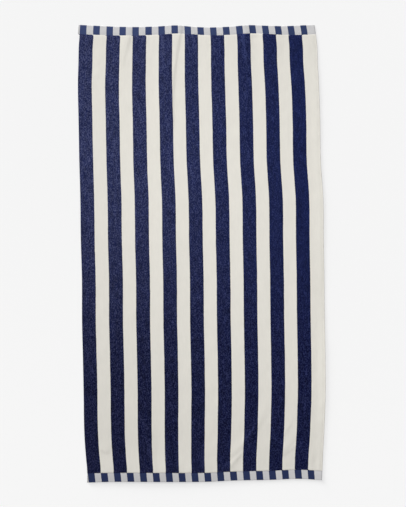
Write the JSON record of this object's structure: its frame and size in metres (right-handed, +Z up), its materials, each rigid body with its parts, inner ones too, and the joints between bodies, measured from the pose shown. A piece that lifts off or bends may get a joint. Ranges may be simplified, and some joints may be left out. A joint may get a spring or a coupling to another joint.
{
  "type": "beach towel",
  "caption": "Flat beach towel in pile cotton with wide lengthwise navy and cream stripes, flat-woven end hems and low folds from its hems.",
  "frame": {"origin": "middle of the outline, on the surface that the towel lies on", "axes": "+Y along the towel's length towards its top hem, +X across it to the right as seen from above, +Z up from the surface"},
  "size_m": [0.93, 1.719, 0.0073],
  "materials": {
    "pile_cotton": "matte cotton pile in wide navy and cream stripes, with dull flat-woven hems"
  },
  "bodies": {
    "root": {"towel": "pile_cotton"}
  },
  "joints": []
}
